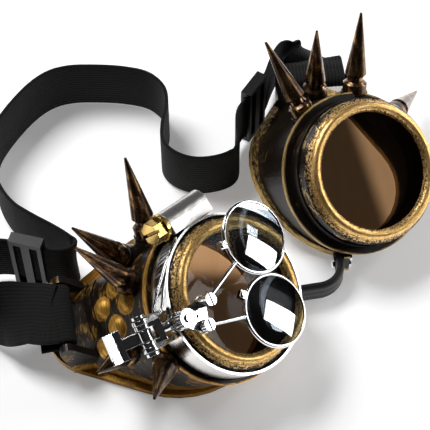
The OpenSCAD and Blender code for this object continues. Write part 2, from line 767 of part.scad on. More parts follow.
// A slide buckle: a flat frame that the strap runs through, under a middle bar
module buckle(at, turn) {
    slot_w = strap_w + 1.4;
    slot_t = strap_t + 0.6;
    frame_t = slot_t + 2.4;
    color(black) translate([at[0], at[1], buckle_z]) rotate([0, 0, turn]) difference() {
        cube([buckle_l, frame_t, buckle_w], center = true);
        cube([buckle_l + 2, slot_t, slot_w], center = true);
        for (side = [-1, 1])
            translate([side * buckle_l / 4, 0, 0]) cube([buckle_l / 2 - 3.4, frame_t + 2, slot_w], center = true);
    }
}

placed() left_frame() color(copper) cup(left_spike_places);  // left_cup
placed() left_frame() lens();  // left_lens
placed() left_frame() gasket();  // left_gasket
placed() left_frame() ring();  // left_ring
placed() left_frame() spike_set(left_spike_places);  // left_spikes
placed() right_frame() color(copper) cup(right_spike_places);  // right_cup
placed() right_frame() lens();  // right_lens
placed() right_frame() gasket();  // right_gasket
placed() right_frame() ring();  // right_ring
placed() right_frame() spike_set(right_spike_places);  // right_spikes
placed() left_frame() clamp_band();
placed() left_frame() clamp_housing();
placed() left_frame() clamp_screw();
placed() left_frame() spring_wire();
placed() left_frame() clip_base();
placed() left_frame() clip_lever();
placed() left_frame() clip_pin();
placed() left_frame() arm_shaft();
placed() left_frame() arm_hub();
placed() left_frame() thumb_nut();
placed() left_frame() loupe_frame(upper_loupe_at, upper_pivot, upper_z);  // upper_loupe_frame
placed() left_frame() loupe_glass(upper_loupe_at, upper_z);  // upper_loupe_glass
placed() left_frame() loupe_screw(upper_loupe_at, upper_pivot, upper_z);  // upper_loupe_screw
placed() left_frame() loupe_frame(lower_loupe_at, lower_pivot, lower_z);  // lower_loupe_frame
placed() left_frame() loupe_glass(lower_loupe_at, lower_z);  // lower_loupe_glass
placed() left_frame() loupe_screw(lower_loupe_at, lower_pivot, lower_z);  // lower_loupe_screw
placed() nose_bridge();
placed() left_frame() rivets();  // left_rivets
placed() right_frame() rivets();  // right_rivets
placed() strap_long();
placed() strap_left_end();
placed() strap_right_end();
placed() buckle(left_buckle_at, left_buckle_turn);  // left_buckle
placed() buckle(right_buckle_at, right_buckle_turn);  // right_buckle
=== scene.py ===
"""Spiked goggles lying on a white table, seen from above at 56 degrees."""
import math

import bmesh
import bpy
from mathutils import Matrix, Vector


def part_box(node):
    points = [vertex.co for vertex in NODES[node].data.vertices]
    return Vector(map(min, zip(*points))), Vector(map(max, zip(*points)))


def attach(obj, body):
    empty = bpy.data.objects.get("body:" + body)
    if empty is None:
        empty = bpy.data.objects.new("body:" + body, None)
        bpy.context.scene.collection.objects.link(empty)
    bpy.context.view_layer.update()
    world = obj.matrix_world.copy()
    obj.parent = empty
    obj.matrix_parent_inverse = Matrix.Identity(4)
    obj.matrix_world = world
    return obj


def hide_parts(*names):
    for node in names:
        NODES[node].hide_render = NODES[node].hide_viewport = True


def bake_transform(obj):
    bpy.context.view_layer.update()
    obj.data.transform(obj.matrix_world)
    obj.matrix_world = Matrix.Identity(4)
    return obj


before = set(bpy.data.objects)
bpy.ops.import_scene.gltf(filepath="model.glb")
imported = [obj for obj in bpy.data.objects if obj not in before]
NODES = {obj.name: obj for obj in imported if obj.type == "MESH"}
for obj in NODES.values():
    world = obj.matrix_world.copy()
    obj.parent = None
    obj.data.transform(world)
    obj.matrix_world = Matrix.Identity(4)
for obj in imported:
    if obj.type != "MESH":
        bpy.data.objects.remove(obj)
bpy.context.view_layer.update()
MM = 0.001

# From the layout's origin to the model's, in mm
SHIFT = Vector((5.5, -1.1, 0))

# Each cup's lens centre in the cup's frame, and how its barrel leans, in degrees
LENS_CENTRE = (27.7, -15, 39.6)
BARREL_LEAN = 37.3
LEAN_TURN = -34
LENS_SPIN = -6.3


def turned(v, angle):
    """The point v turned about Z by an angle in degrees."""
    a = math.radians(angle)
    return (v[0] * math.cos(a) - v[1] * math.sin(a), v[0] * math.sin(a) + v[1] * math.cos(a))


class Cup:
    """The frame of a cup: X to the nose, Y to the brow, Z up from its rim. Side is 1 or -1 (mirrored)."""

    def __init__(self, at, turn, side):
        self.at = Vector(at) + SHIFT
        self.turn = turn
        self.side = side
        self.lens = self.point(LENS_CENTRE)
        lean = math.radians(BARREL_LEAN)
        x, y = turned((math.sin(lean), 0), LEAN_TURN)
        self.axis = self.direction((x, y, math.cos(lean)))
        x, y = turned((-math.cos(lean), 0), LEAN_TURN)
        lower = self.direction((x, y, math.sin(lean)))
        across = self.axis.cross(lower) * side
        spin = math.radians(LEAN_TURN + LENS_SPIN)
        self.temple = (lower * math.cos(spin) - across * math.sin(spin)).normalized()
        self.brow = (self.axis.cross(self.temple) * -side).normalized()

    def direction(self, v):
        """A direction of the cup's frame, in the model's."""
        x, y = turned((v[0], v[1] * self.side), self.turn)
        return Vector((x, y, v[2]))

    def point(self, p):
        """A point of the cup's frame, in the model's."""
        return self.at + self.direction(p)


LEFT_AT = (-20, -37)
RIGHT_AT = (44.7, 33.5)
left = Cup((*LEFT_AT, 0), 10, 1)
right = Cup((*RIGHT_AT, 0), -85, -1)


def placed(name, data):
    """A new object of the scene."""
    piece = bpy.data.objects.new(name, data)
    bpy.context.scene.collection.objects.link(piece)
    return piece


# Camera

SENSOR = 36
IMAGE_WIDTH = 430
FOCAL_PIXELS = 1400
CAMERA_AT = Vector((0, -309, 477.4))
CAMERA_TILT = 34

camera = placed("camera", bpy.data.cameras.new("camera"))
camera.data.sensor_width = SENSOR
camera.data.lens = SENSOR * FOCAL_PIXELS / IMAGE_WIDTH
camera.data.clip_start = 0.01
camera.location = (CAMERA_AT + SHIFT) * MM
camera.rotation_euler = (math.radians(CAMERA_TILT), 0, 0)
bpy.context.scene.camera = camera


# Node trees

class Tree:
    """The nodes of a material or a world, with short names for those used here."""

    def __init__(self, owner):
        owner.use_nodes = True
        self.owner = owner
        self.nodes = owner.node_tree.nodes
        self.links = owner.node_tree.links
        self.shader = self.nodes.get("Principled BSDF")

    def put(self, socket, value):
        """Sets a socket to a value, or links another socket to it."""
        if isinstance(value, bpy.types.NodeSocket):
            self.links.new(value, socket)
        elif isinstance(value, tuple) and len(value) == 3 and len(socket.default_value) == 4:
            socket.default_value = (*value, 1)
        else:
            socket.default_value = value

    def set(self, **values):
        """Sets the shader's sockets by name and gives the material."""
        for key, value in values.items():
            self.put(self.shader.inputs[key.replace("_", " ")], value)
        return self.owner

    def place(self):
        """The place on the object, in mm."""
        return self.vector("SCALE", self.nodes.new("ShaderNodeTexCoord").outputs["Object"], 1 / MM)

    def uv(self):
        """The length along a band and the place across it."""
        return self.nodes.new("ShaderNodeUVMap").outputs["UV"]

    def vector(self, operation, a, b=(0, 0, 0)):
        node = self.nodes.new("ShaderNodeVectorMath")
        node.operation = operation
        self.put(node.inputs[0], a)
        if operation == "SCALE":
            self.put(node.inputs["Scale"], b)
        else:
            self.put(node.inputs[1], b)
        return node.outputs["Value" if operation in ("DOT_PRODUCT", "LENGTH", "DISTANCE") else "Vector"]

    def math(self, operation, a, b=0.0):
        node = self.nodes.new("ShaderNodeMath")
        node.operation = operation
        self.put(node.inputs[0], a)
        self.put(node.inputs[1], b)
        return node.outputs[0]

    def combine(self, x, y, z):
        node = self.nodes.new("ShaderNodeCombineXYZ")
        for socket, value in zip(node.inputs, (x, y, z)):
            self.put(socket, value)
        return node.outputs[0]

    def noise(self, vector, scale, detail=4.0, rough=0.55):
        node = self.nodes.new("ShaderNodeTexNoise")
        self.put(node.inputs["Vector"], vector)
        self.put(node.inputs["Scale"], scale)
        self.put(node.inputs["Detail"], detail)
        self.put(node.inputs["Roughness"], rough)
        return node.outputs["Fac"]

    def ramp(self, value, low, high, start=0.0, end=1.0, smooth=True):
        """Start below low, end above high."""
        node = self.nodes.new("ShaderNodeMapRange")
        node.interpolation_type = "SMOOTHSTEP" if smooth else "LINEAR"
        self.put(node.inputs["Value"], value)
        self.put(node.inputs["From Min"], low)
        self.put(node.inputs["From Max"], high)
        self.put(node.inputs["To Min"], start)
        self.put(node.inputs["To Max"], end)
        return node.outputs["Result"]

    def times(self, a, b):
        return self.math("MULTIPLY", a, b)

    def plus(self, a, b):
        return self.math("ADD", a, b)

    def most(self, a, b):
        return self.math("MAXIMUM", a, b)

    def minus(self, a, b):
        return self.math("SUBTRACT", a, b)

    def inverse(self, a):
        return self.minus(1.0, a)

    def mix(self, factor, a, b):
        node = self.nodes.new("ShaderNodeMix")
        node.data_type = "RGBA"
        self.put(node.inputs["Factor"], factor)
        self.put(node.inputs["A"], a)
        self.put(node.inputs["B"], b)
        return node.outputs["Result"]

    def crevice(self, reach):
        """0 deep in a crevice, 1 in the open, with a reach in mm."""
        node = self.nodes.new("ShaderNodeAmbientOcclusion")
        node.samples = 8
        self.put(node.inputs["Distance"], reach * MM)
        return node.outputs["AO"]

    def inside(self, centre):
        """1 on faces that look towards a point, in mm."""
        normal = self.nodes.new("ShaderNodeNewGeometry").outputs["True Normal"]
        out = self.vector("SUBTRACT", self.place(), tuple(centre))
        return self.math("LESS_THAN", self.vector("DOT_PRODUCT", normal, out), 0.0)

    def bump(self, height, distance, strength=1.0, edge=None):
        """Bumps from a height, over edges rounded by a radius in mm if one is given."""
        node = self.nodes.new("ShaderNodeBump")
        if edge:
            rounded = self.nodes.new("ShaderNodeBevel")
            rounded.samples = 6
            self.put(rounded.inputs["Radius"], edge * MM)
            self.put(node.inputs["Normal"], rounded.outputs[0])
        self.put(node.inputs["Height"], height)
        self.put(node.inputs["Distance"], distance)
        self.put(node.inputs["Strength"], strength)
        self.put(self.shader.inputs["Normal"], node.outputs[0])

    def round_lens(self, cup):
        """Angle round the lens axis in radians, distance from it and height over the lens, in mm."""
        p = self.vector("SUBTRACT", self.place(), tuple(cup.lens))
        x = self.vector("DOT_PRODUCT", p, tuple(cup.temple))
        y = self.vector("DOT_PRODUCT", p, tuple(cup.brow))
        height = self.vector("DOT_PRODUCT", p, tuple(cup.axis))
        angle = self.math("ARCTAN2", y, x)
        radius = self.math("SQRT", self.plus(self.times(x, x), self.times(y, y)))
        return angle, radius, height

    def stretched(self, polar, around, out=1.0, up=1.0):
        """A vector for noise from angle, radius and height, each with its own scale."""
        return self.combine(*(self.times(a, scale) for a, scale in zip(polar, (around, out, up))))


def new_tree(name):
    """The nodes of a new material."""
    return Tree(bpy.data.materials.new(name))


def scaled(colour, factor):
    """A colour made darker or lighter."""
    return tuple(c * factor for c in colour)


# Paints

BLACK_PAINT = (0.008, 0.0055, 0.004)
INNER_BLACK = (0.006, 0.004, 0.003)
ORANGE_GOLD = (0.72, 0.38, 0.07)
PALE_GOLD = (0.66, 0.44, 0.16)
LEFT_BEAD_GOLD = (0.62, 0.36, 0.085)
RIGHT_BEAD_GOLD = (0.74, 0.43, 0.115)
GREY_GOLD = (0.60, 0.50, 0.32)
# Pale cream for the ring's gold flecks, partly a painted highlight
HIGHLIGHT_CREAM = (1.0, 0.76, 0.44)
DARK_COPPER = (0.055, 0.030, 0.019)
STREAK_GOLD = (0.36, 0.21, 0.085)
# Painted shade for the crevices of steel
CREVICE_SHADE = (0.05, 0.045, 0.04)

# Where the paint lies, in mm: the brow's slope is in degrees
BROW_SLOPE = 28
DOME_R = 4.0
COLLAR_R = 31.3
COLLAR_FOOT = -17.8
INNER_FOOT = 3.0
CREST_R = 25.2
BEAD_FOOT = -3.4

# Depth of the slow waves in steel, in metres
WAVE_DEPTH = 0.00012


def cup_material(name, cup, gold, domes, rim_high, cover):
    """Dark moulded plastic with gold brushed over its rim, its domes and its edges, and dark inside."""
    t = new_tree(name)
    polar = t.round_lens(cup)
    radius, height = polar[1:]
    p = t.place()
    brushed = t.stretched(polar, 4.0, 0.9, 0.9)
    streaks = t.noise(brushed, 1.1, 7.0, 0.78)
    cloud = t.noise(p, 0.09, 3.0)
    towards_brow = tuple(cup.direction((0, 1, 0)))
    brow = t.vector("DOT_PRODUCT", t.vector("SUBTRACT", p, tuple(cup.at)), towards_brow)
    z = t.vector("DOT_PRODUCT", p, (0, 0, 1))
    z = t.minus(z, t.times(t.most(brow, 0.0), math.tan(math.radians(BROW_SLOPE))))
    rim = t.inverse(t.ramp(z, rim_high * 0.3, rim_high))
    shown = t.most(t.times(rim, 0.8), cover * 0.55)
    for dome in domes:
        near = t.inverse(t.ramp(t.vector("DISTANCE", p, tuple(dome)), DOME_R, DOME_R + 2))
        shown = t.most(shown, t.times(near, 0.85))
    above_foot = t.ramp(height, COLLAR_FOOT, COLLAR_FOOT + 0.8)
    collar = t.times(t.ramp(radius, COLLAR_R, COLLAR_R + 0.6), above_foot)
    shown = t.most(shown, t.times(collar, 0.7))
    shown = t.most(shown, t.times(t.ramp(cloud, 0.42, 0.62), cover))
    worn = t.plus(shown, t.times(t.minus(streaks, 0.5), 1.9))
    mask = t.ramp(worn, 0.36, 0.78)
    tone = t.ramp(t.noise(brushed, 3.0, 4.0), 0.35, 0.7)
    colour = t.mix(mask, BLACK_PAINT, t.mix(tone, scaled(gold, 0.45), gold))
    inner = t.times(t.inside((cup.lens + cup.at) / 2), t.ramp(z, INNER_FOOT, INNER_FOOT + 2))
    colour = t.mix(inner, colour, INNER_BLACK)
    mask = t.times(mask, t.inverse(inner))
    rough = t.plus(t.times(mask, 0.12), t.plus(0.34, t.times(inner, 0.45)))
    t.bump(t.plus(t.noise(p, 0.9, 5.0, 0.65), t.times(mask, 0.25)), 0.00015, 0.7)
    return t.set(Base_Color=colour, Roughness=rough, Metallic=t.times(mask, 0.6), Specular_IOR_Level=0.16)


def ring_material(name, cup, gold, cover):
    """Gold brushed over black, worn off in fine dashes round the bead and greyer on the skirt, with pale
    flecks on the bead that are partly painted highlight.
    """
    t = new_tree(name)
    polar = t.round_lens(cup)
    radius, height = polar[1:]
    dashes = t.noise(t.stretched(polar, 14.0), 1.5, 6.0, 0.8)
    grains = t.noise(t.place(), 1.6, 5.0, 0.75)
    worn = t.plus(t.times(dashes, 0.55), t.times(grains, 0.45))
    crest = t.inverse(t.ramp(t.math("ABSOLUTE", t.minus(radius, CREST_R)), 0.6, 2.2))
    skirt = t.ramp(height, BEAD_FOOT, BEAD_FOOT - 1.2)
    patch = t.ramp(t.noise(t.stretched(polar, 5.0, 1.0, 0.3), 0.8, 6.0, 0.7), 0.5, 0.62)
    need = t.plus(t.minus(0.51, t.times(crest, cover)), t.times(skirt, 0.12))
    need = t.minus(need, t.times(t.times(skirt, patch), 0.2))
    gilt = t.ramp(t.minus(worn, need), -0.045, 0.03)
    # Pale gold flecks on the bead, placed at random, partly painted highlight
    lighter = tuple((a + b) / 2 for a, b in zip(gold, HIGHLIGHT_CREAM))
    darker = scaled(gold, 0.42)
    tone = t.noise(t.stretched(polar, 9.0, 1.4), 1.3, 6.0, 0.75)
    bead = t.mix(t.ramp(tone, 0.36, 0.5), darker, t.mix(t.ramp(grains, 0.45, 0.6), gold, lighter))
    gilding = t.mix(t.times(skirt, 0.8), bead, t.mix(t.ramp(tone, 0.4, 0.6), darker, GREY_GOLD))
    t.bump(t.plus(worn, t.times(gilt, 0.3)), 0.00016, 0.8)
    return t.set(Base_Color=t.mix(gilt, BLACK_PAINT, gilding), Roughness=t.plus(t.times(gilt, 0.08), 0.24),
                 Metallic=t.times(gilt, 0.85), Specular_IOR_Level=0.2)


def spike_material(name, cup):
    """Dark copper with soft gold streaks that run to the points."""
    t = new_tree(name)
    streak = t.noise(t.stretched(t.round_lens(cup), 24.0, 0.12, 0.3), 1.0, 4.0, 0.6)
    fine = t.noise(t.place(), 1.3, 5.0, 0.7)
    mask = t.ramp(t.plus(streak, t.times(t.minus(fine, 0.5), 0.35)), 0.46, 0.72)
    t.bump(fine, 0.00006, 0.5)
    rough = t.plus(t.times(fine, 0.16), 0.17)
    return t.set(Base_Color=t.mix(mask, DARK_COPPER, STREAK_GOLD), Roughness=rough, Metallic=0.85)


def steel_material(name, colour, rough, scale, depth):
    """Polished or satin steel with handling marks, rounded edges and painted shade darkening its crevices.
    """
    t = new_tree(name)
    p = t.place()
    marks = t.noise(p, scale, 5.0, 0.6)
    waves = t.noise(p, 0.22, 1.0)
    t.bump(t.plus(t.times(marks, depth), t.times(waves, WAVE_DEPTH)), 1.0, 1.0, 0.25)
    spread = t.plus(t.times(marks, rough), rough * 0.5)
    unshaded_colour = t.mix(marks, scaled(colour, 0.86), colour)
    # Painted shade: ambient occlusion darkens the colour in crevices, where shade falls.
    out_of_shade = t.ramp(t.crevice(2.0), 0.35, 0.85)
    return t.set(Base_Color=t.mix(out_of_shade, CREVICE_SHADE, unshaded_colour), Roughness=spread, Metallic=1.0)


def band_material(name, cup):
    """Steel brushed along the band."""
    t = new_tree(name)
    lines = t.noise(t.stretched(t.round_lens(cup), 2.0, 1.0, 9.0), 1.6, 4.0)
    t.bump(lines, 0.00003, 0.5)
    colour = t.mix(lines, (0.5, 0.49, 0.48), (0.7, 0.69, 0.67))
    return t.set(Base_Color=colour, Roughness=t.plus(t.times(lines, 0.2), 0.16), Metallic=1.0)


def brass_material(name):
    """Handled brass, with painted shade darkening it in its slot and round its foot."""
    t = new_tree(name)
    p = t.place()
    cloud = t.noise(p, 0.5, 5.0, 0.6)
    t.bump(t.noise(p, 2.5, 3.0), 0.00001, 0.4, 0.3)
    unshaded_colour = t.mix(cloud, (0.74, 0.47, 0.12), (0.86, 0.64, 0.24))
    # Painted shade: ambient occlusion turns the colour dark brown in the slot and round the foot, where
    # shade falls.
    colour = t.mix(t.ramp(t.crevice(2.5), 0.3, 0.9), (0.10, 0.05, 0.012), unshaded_colour)
    return t.set(Base_Color=colour, Roughness=t.plus(t.times(cloud, 0.14), 0.18), Metallic=1.0)


def lens_material(name):
    """Brown tinted plastic with faint smears."""
    t = new_tree(name)
    smear = t.noise(t.vector("MULTIPLY", t.place(), (0.3, 0.05, 0.3)), 1.0, 4.0)
    colour = t.mix(smear, (0.24, 0.135, 0.065), (0.31, 0.18, 0.09))
    return t.set(Base_Color=colour, Roughness=t.times(smear, 0.05), Transmission_Weight=1.0, IOR=1.16)


def loupe_material(name):
    """Coated grey-blue glass."""
    t = new_tree(name)
    smudge = t.noise(t.place(), 0.2, 3.0)
    colour = t.mix(smudge, (0.42, 0.50, 0.60), (0.52, 0.60, 0.68))
    return t.set(Base_Color=colour, Roughness=t.times(smudge, 0.03), Transmission_Weight=1.0, IOR=1.75,
                 Coat_Weight=1.0, Coat_IOR=1.9)


def rubber_material(name, colour, rough, scale):
    """Rubber or satin plastic with a moulded grain."""
    t = new_tree(name)
    grain = t.noise(t.place(), scale, 4.0, 0.6)
    t.bump(grain, 0.00006, 0.6)
    spread = t.plus(t.times(grain, 0.15), rough)
    return t.set(Base_Color=t.mix(grain, colour, scaled(colour, 1.7)), Roughness=spread,
                 Specular_IOR_Level=0.25)


STRAP_CORDS = 17
THREADS_PER_M = 1300.0


def elastic_material(name):
    """Black elastic: cords along its length, crossed by fine threads, with painted shade darker in the
    grooves.
    """
    t = new_tree(name)
    split = t.nodes.new("ShaderNodeSeparateXYZ")
    t.put(split.inputs[0], t.uv())
    along_strap, across = split.outputs["X"], split.outputs["Y"]
    cords = t.math("SINE", t.times(across, 2 * math.pi * STRAP_CORDS))
    turns = t.times(along_strap, 2 * math.pi * THREADS_PER_M)
    threads = t.math("SINE", t.plus(turns, t.times(cords, 1.2)))
    fuzz = t.noise(t.place(), 2.2, 4.0, 0.7)
    height = t.plus(t.times(cords, 0.5), t.times(threads, 0.3))
    t.bump(t.plus(height, t.times(fuzz, 0.6)), 0.00012, 0.8)
    # Painted shade: lighter on the tops of cords and threads, darker in the grooves between them, mixed with
    # random fuzz.
    shade = t.ramp(t.plus(height, fuzz), -0.4, 1.4)
    colour = t.mix(shade, (0.002, 0.002, 0.002), (0.011, 0.011, 0.0105))
    return t.set(Base_Color=colour, Roughness=0.9, Specular_IOR_Level=0.25,
                 Sheen_Weight=0.03, Sheen_Roughness=0.5)


def paint(node, material):
    """Gives a node of the model one material."""
    data = NODES[node].data
    data.materials.clear()
    data.materials.append(material)
    for face in data.polygons:
        face.material_index = 0


def on_wall(cup, angle, depth, radius):
    """A point at an angle from the temple, a depth below the lens and a distance from its axis."""
    a = math.radians(angle)
    ray = cup.temple * math.cos(a) + cup.brow * math.sin(a)
    return cup.lens + ray * radius - cup.axis * depth


DOMES = [(6, 42, 35), (19, 36, 33.5), (-8, 34.5, 34.2), (6, 28, 32.7), (-19, 44, 35.5)]


def paint_cup(side, cup, cup_gold, rim_high, cup_cover, bead_gold, bead_cover):
    """Paints one cup with its ring, spikes and lens."""
    domes = [on_wall(cup, *dome) for dome in DOMES]
    paint(side + "_cup", cup_material(side + "_cup_paint", cup, cup_gold, domes, rim_high, cup_cover))
    paint(side + "_ring", ring_material(side + "_ring_paint", cup, bead_gold, bead_cover))
    paint(side + "_spikes", spike_material(side + "_spike_paint", cup))
    paint(side + "_lens", lens_material(side + "_lens_tint"))


paint_cup("left", left, ORANGE_GOLD, 12, 0.5, LEFT_BEAD_GOLD, 0.08)
paint_cup("right", right, PALE_GOLD, 5, 0.3, RIGHT_BEAD_GOLD, 0.1)

chrome = steel_material("chrome", (0.63, 0.63, 0.64), 0.12, 0.9, 0.00004)
gasket = rubber_material("gasket_rubber", (0.012, 0.012, 0.012), 0.6, 1.5)
buckle_plastic = rubber_material("buckle_plastic", (0.008, 0.008, 0.0085), 0.3, 1.1)
bridge_rubber = rubber_material("bridge_rubber", (0.007, 0.007, 0.007), 0.45, 0.8)
loupe_glass = loupe_material("loupe_glass")
elastic = elastic_material("elastic")

paint("clamp_band", band_material("band_steel", left))
paint("clamp_housing", steel_material("satin_steel", (0.64, 0.63, 0.61), 0.32, 2.5, 0.00001))
paint("clamp_screw", brass_material("brass"))
for name in ("spring_wire", "clip_base", "clip_lever", "clip_pin", "arm_shaft", "arm_hub", "thumb_nut",
             "upper_loupe_frame", "lower_loupe_frame", "upper_loupe_screw", "lower_loupe_screw",
             "left_rivets", "right_rivets"):
    paint(name, chrome)
for name in ("left_gasket", "right_gasket"):
    paint(name, gasket)
for name in ("left_buckle", "right_buckle"):
    paint(name, buckle_plastic)


# The loupes' glass

GLASS_T = 1.2
GLASS_BULGE = 1.1
GLASS_RINGS = 24
GLASS_TURNS = 96
SHARP_EDGE = 40


def round_glass(name, node, body):
    """Smooth glass with two bulging faces, in the place of a node's glass."""
    low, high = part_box(node)
    middle = (Vector(low) + Vector(high)) / 2 / MM
    edge_r = max((v.co / MM - middle).length for v in NODES[node].data.vertices)
    steps = [i / GLASS_RINGS for i in range(GLASS_RINGS + 1)]
    profile = [(edge_r * r, GLASS_T / 2 + GLASS_BULGE * (1 - r * r)) for r in steps]
    profile += [(r, -h) for r, h in reversed(profile)]
    mesh = bmesh.new()
    rings = []
    for r, h in profile[1:-1]:
        ring = []
        for k in range(GLASS_TURNS):
            a = 2 * math.pi * k / GLASS_TURNS
            ray = left.temple * math.cos(a) + left.brow * math.sin(a)
            ring.append(mesh.verts.new((middle + ray * r + left.axis * h) * MM))
        rings.append(ring)
    for top, bottom in zip(rings, rings[1:]):
        for k in range(GLASS_TURNS):
            m = (k + 1) % GLASS_TURNS
            mesh.faces.new((top[k], bottom[k], bottom[m], top[m]))
    for ring, height in ((rings[0], profile[0][1]), (rings[-1], profile[-1][1])):
        pole = mesh.verts.new((middle + left.axis * height) * MM)
        for k in range(GLASS_TURNS):
            mesh.faces.new((pole, ring[k], ring[(k + 1) % GLASS_TURNS]))
    bmesh.ops.recalc_face_normals(mesh, faces=mesh.faces)
    for face in mesh.faces:
        face.smooth = True
    for edge in mesh.edges:
        edge.smooth = edge.calc_face_angle(0) < math.radians(SHARP_EDGE)
    data = bpy.data.meshes.new(name)
    mesh.to_mesh(data)
    mesh.free()
    data.materials.append(loupe_glass)
    piece = placed(name, data)
    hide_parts(node)
    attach(piece, body)


round_glass("upper_glass", "upper_loupe_glass", "upper_loupe")
round_glass("lower_glass", "lower_loupe_glass", "lower_loupe")


# The headband, in mm: a strap's middle runs at its buckles' height there, and lower between them

STRAP_W = 25
STRAP_T = 1.5
BUCKLE_H = 31
OFF_TABLE = 0.3
MID_Z = STRAP_W / 2 + OFF_TABLE
BUCKLE_Z = BUCKLE_H / 2 + OFF_TABLE
LEFT_BUCKLE, LEFT_TURN = (-72, -19.5), -14
RIGHT_BUCKLE, RIGHT_TURN = (16, 57), 58
BUCKLE_L = 13
STRAIGHT = BUCKLE_L / 2 + 2
BUCKLE_SLIDE = 3
LUG = (-38, -1, 16.5)
LUG_BAR_R = 1.6
WRAP_R = LUG_BAR_R + 0.6 + STRAP_T / 2
SPAN_STEPS = 6
TWIST_SOFTENING = 16
UP = Vector((0, 0, 1))


def spline(points, steps):
    """Points on the smooth curve through a list of points."""
    out = []
    for i in range(len(points) - 1):
        a, b = Vector(points[max(i - 1, 0)]), Vector(points[i])
        c, d = Vector(points[i + 1]), Vector(points[min(i + 2, len(points) - 1)])
        for k in range(steps):
            t = k / steps
            out.append((2 * b + (c - a) * t + (2 * a - 5 * b + 4 * c - d) * t * t
                        + (3 * b - a - 3 * c + d) * t ** 3) / 2)
    out.append(Vector(points[-1]))
    return out


def along(at, turn, length):
    """The point at a length from another, in a direction given in degrees."""
    a = math.radians(turn)
    return (at[0] + length * math.cos(a), at[1] + length * math.sin(a))


def section(width, thick, cords):
    """Half of a band's outline, as place across the band and height: ribbed, with rounded edges."""
    out = []
    n = 4 * cords
    for k in range(n + 1):
        v = -0.5 + k / n
        rib = 0.5 - 0.5 * math.cos(2 * math.pi * cords * (v + 0.5))
        edge = min(1.0, (0.5 - abs(v)) * width / (0.5 * thick))
        out.append((v, (thick / 2) * math.sqrt(max(0.15, 1 - (1 - edge) ** 2)) * (0.86 + 0.14 * rib)))
    return out


def band(name, points, edges, width, thick, material, cords=STRAP_CORDS):
    """A ribbed band swept along points; edges gives the direction of its width at each one."""
    half = section(width, thick, cords)
    outline = half + [(v, -h) for v, h in reversed(half)]
    count = len(outline)
    verts, uvs, run = [], [], 0.0
    for i, p in enumerate(points):
        f = (points[min(i + 1, len(points) - 1)] - points[max(i - 1, 0)]).normalized()
        e = (edges[i] - f * edges[i].dot(f)).normalized()
        side = f.cross(e)
        if i:
            run += (p - points[i - 1]).length
        for v, h in outline:
            verts.append((p + SHIFT + e * v * width + side * h) * MM)
            uvs.append((run * MM, v + 0.5))
    faces = []
    for i in range(len(points) - 1):
        for k in range(count):
            m = (k + 1) % count
            faces.append((i * count + k, i * count + m, (i + 1) * count + m, (i + 1) * count + k))
    last = (len(points) - 1) * count
    faces.append(tuple(reversed(range(count))))
    faces.append(tuple(last + k for k in range(count)))
    mesh = bpy.data.meshes.new(name)
    mesh.from_pydata(verts, [], faces)
    layer = mesh.uv_layers.new(name="band")
    for loop in mesh.loops:
        layer.data[loop.index].uv = uvs[loop.vertex_index]
    mesh.materials.append(material)
    for face in mesh.polygons:
        face.use_smooth = True
    mesh.update()
    return placed(name, mesh)


LONG_ROUTE = [
    LEFT_BUCKLE, along(LEFT_BUCKLE, LEFT_TURN, STRAIGHT),
    (-57.5, -21.5), (-54.6, -18.5), (-56.5, -14), (-63, -8.5), (-72, -3), (-80, 3),
    (-86, 12), (-90, 24), (-91, 36), (-87, 47), (-79, 60), (-71, 68), (-62, 71.5), (-50, 72), (-38, 71),
    (-28, 68), (-21.5, 61), (-20, 52), (-21.5, 42), (-21, 33), (-16, 27), (-8, 24), (1, 25), (7.5, 28.5),
    (9.4, 34), (9.0, 41), along(RIGHT_BUCKLE, RIGHT_TURN, -STRAIGHT - BUCKLE_SLIDE),
    along(RIGHT_BUCKLE, RIGHT_TURN, -5), RIGHT_BUCKLE]


def risen(i, n):
    """The height of the strap's middle at point i of n: it rises towards the third point from each end."""
    from_end = min(i, n - 1 - i)
    return MID_Z + (BUCKLE_Z - MID_Z) * max(0, 1 - max(0, from_end - 2) / 3)


route = spline([(x, y, risen(i, len(LONG_ROUTE))) for i, (x, y) in enumerate(LONG_ROUTE)], SPAN_STEPS)
long_strap = band("headband", route, [UP] * len(route), STRAP_W, STRAP_T, elastic)
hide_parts("strap_long")
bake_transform(long_strap)


def round_bar(cup, at, tail):
    """Points round the bar of a cup's lug: over it, down beside the cup and back out as a tail."""
    centre = turned((LUG[0], cup.side * LUG[1]), cup.turn)
    out = turned((-1, 0), cup.turn)
    r = WRAP_R
    corner = 0.71 * r
    path = [(5, 0.95 * r), (2.3, r), (0, r), (-corner, corner), (-r, 0), (-corner, -corner),
            (0, -r), (2.3, -r), (5, -r), (tail, -r - 0.4)]
    return [(at[0] + centre[0] + out[0] * a, at[1] + centre[1] + out[1] * a, LUG[2] + b) for a, b in path]


def softened(directions, rounds):
    """A list of directions, each drawn towards its neighbours a number of times."""
    for _ in range(rounds):
        inner = [(a + 2 * b + c) / 4 for a, b, c in zip(directions, directions[1:], directions[2:])]
        directions = [directions[0]] + inner + [directions[-1]]
    return directions


def strap_end(side, cup, at, tail, start, points, edges):
    """The end of the headband from its buckle to the lug of a cup."""
    flat = Vector((*turned((0, cup.side), cup.turn), 0))
    path = [(*p, BUCKLE_Z) for p in start] + points + round_bar(cup, at, tail)
    widths = [UP] * 2 + [Vector(e) for e in edges]
    widths += [flat] * (len(path) - len(widths))
    widths = softened(spline(widths, SPAN_STEPS), TWIST_SOFTENING)
    piece = band(side + "_strap_end", spline(path, SPAN_STEPS), widths, STRAP_W, STRAP_T, elastic)
    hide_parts("strap_" + side + "_end")
    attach(piece, side + "_cup")


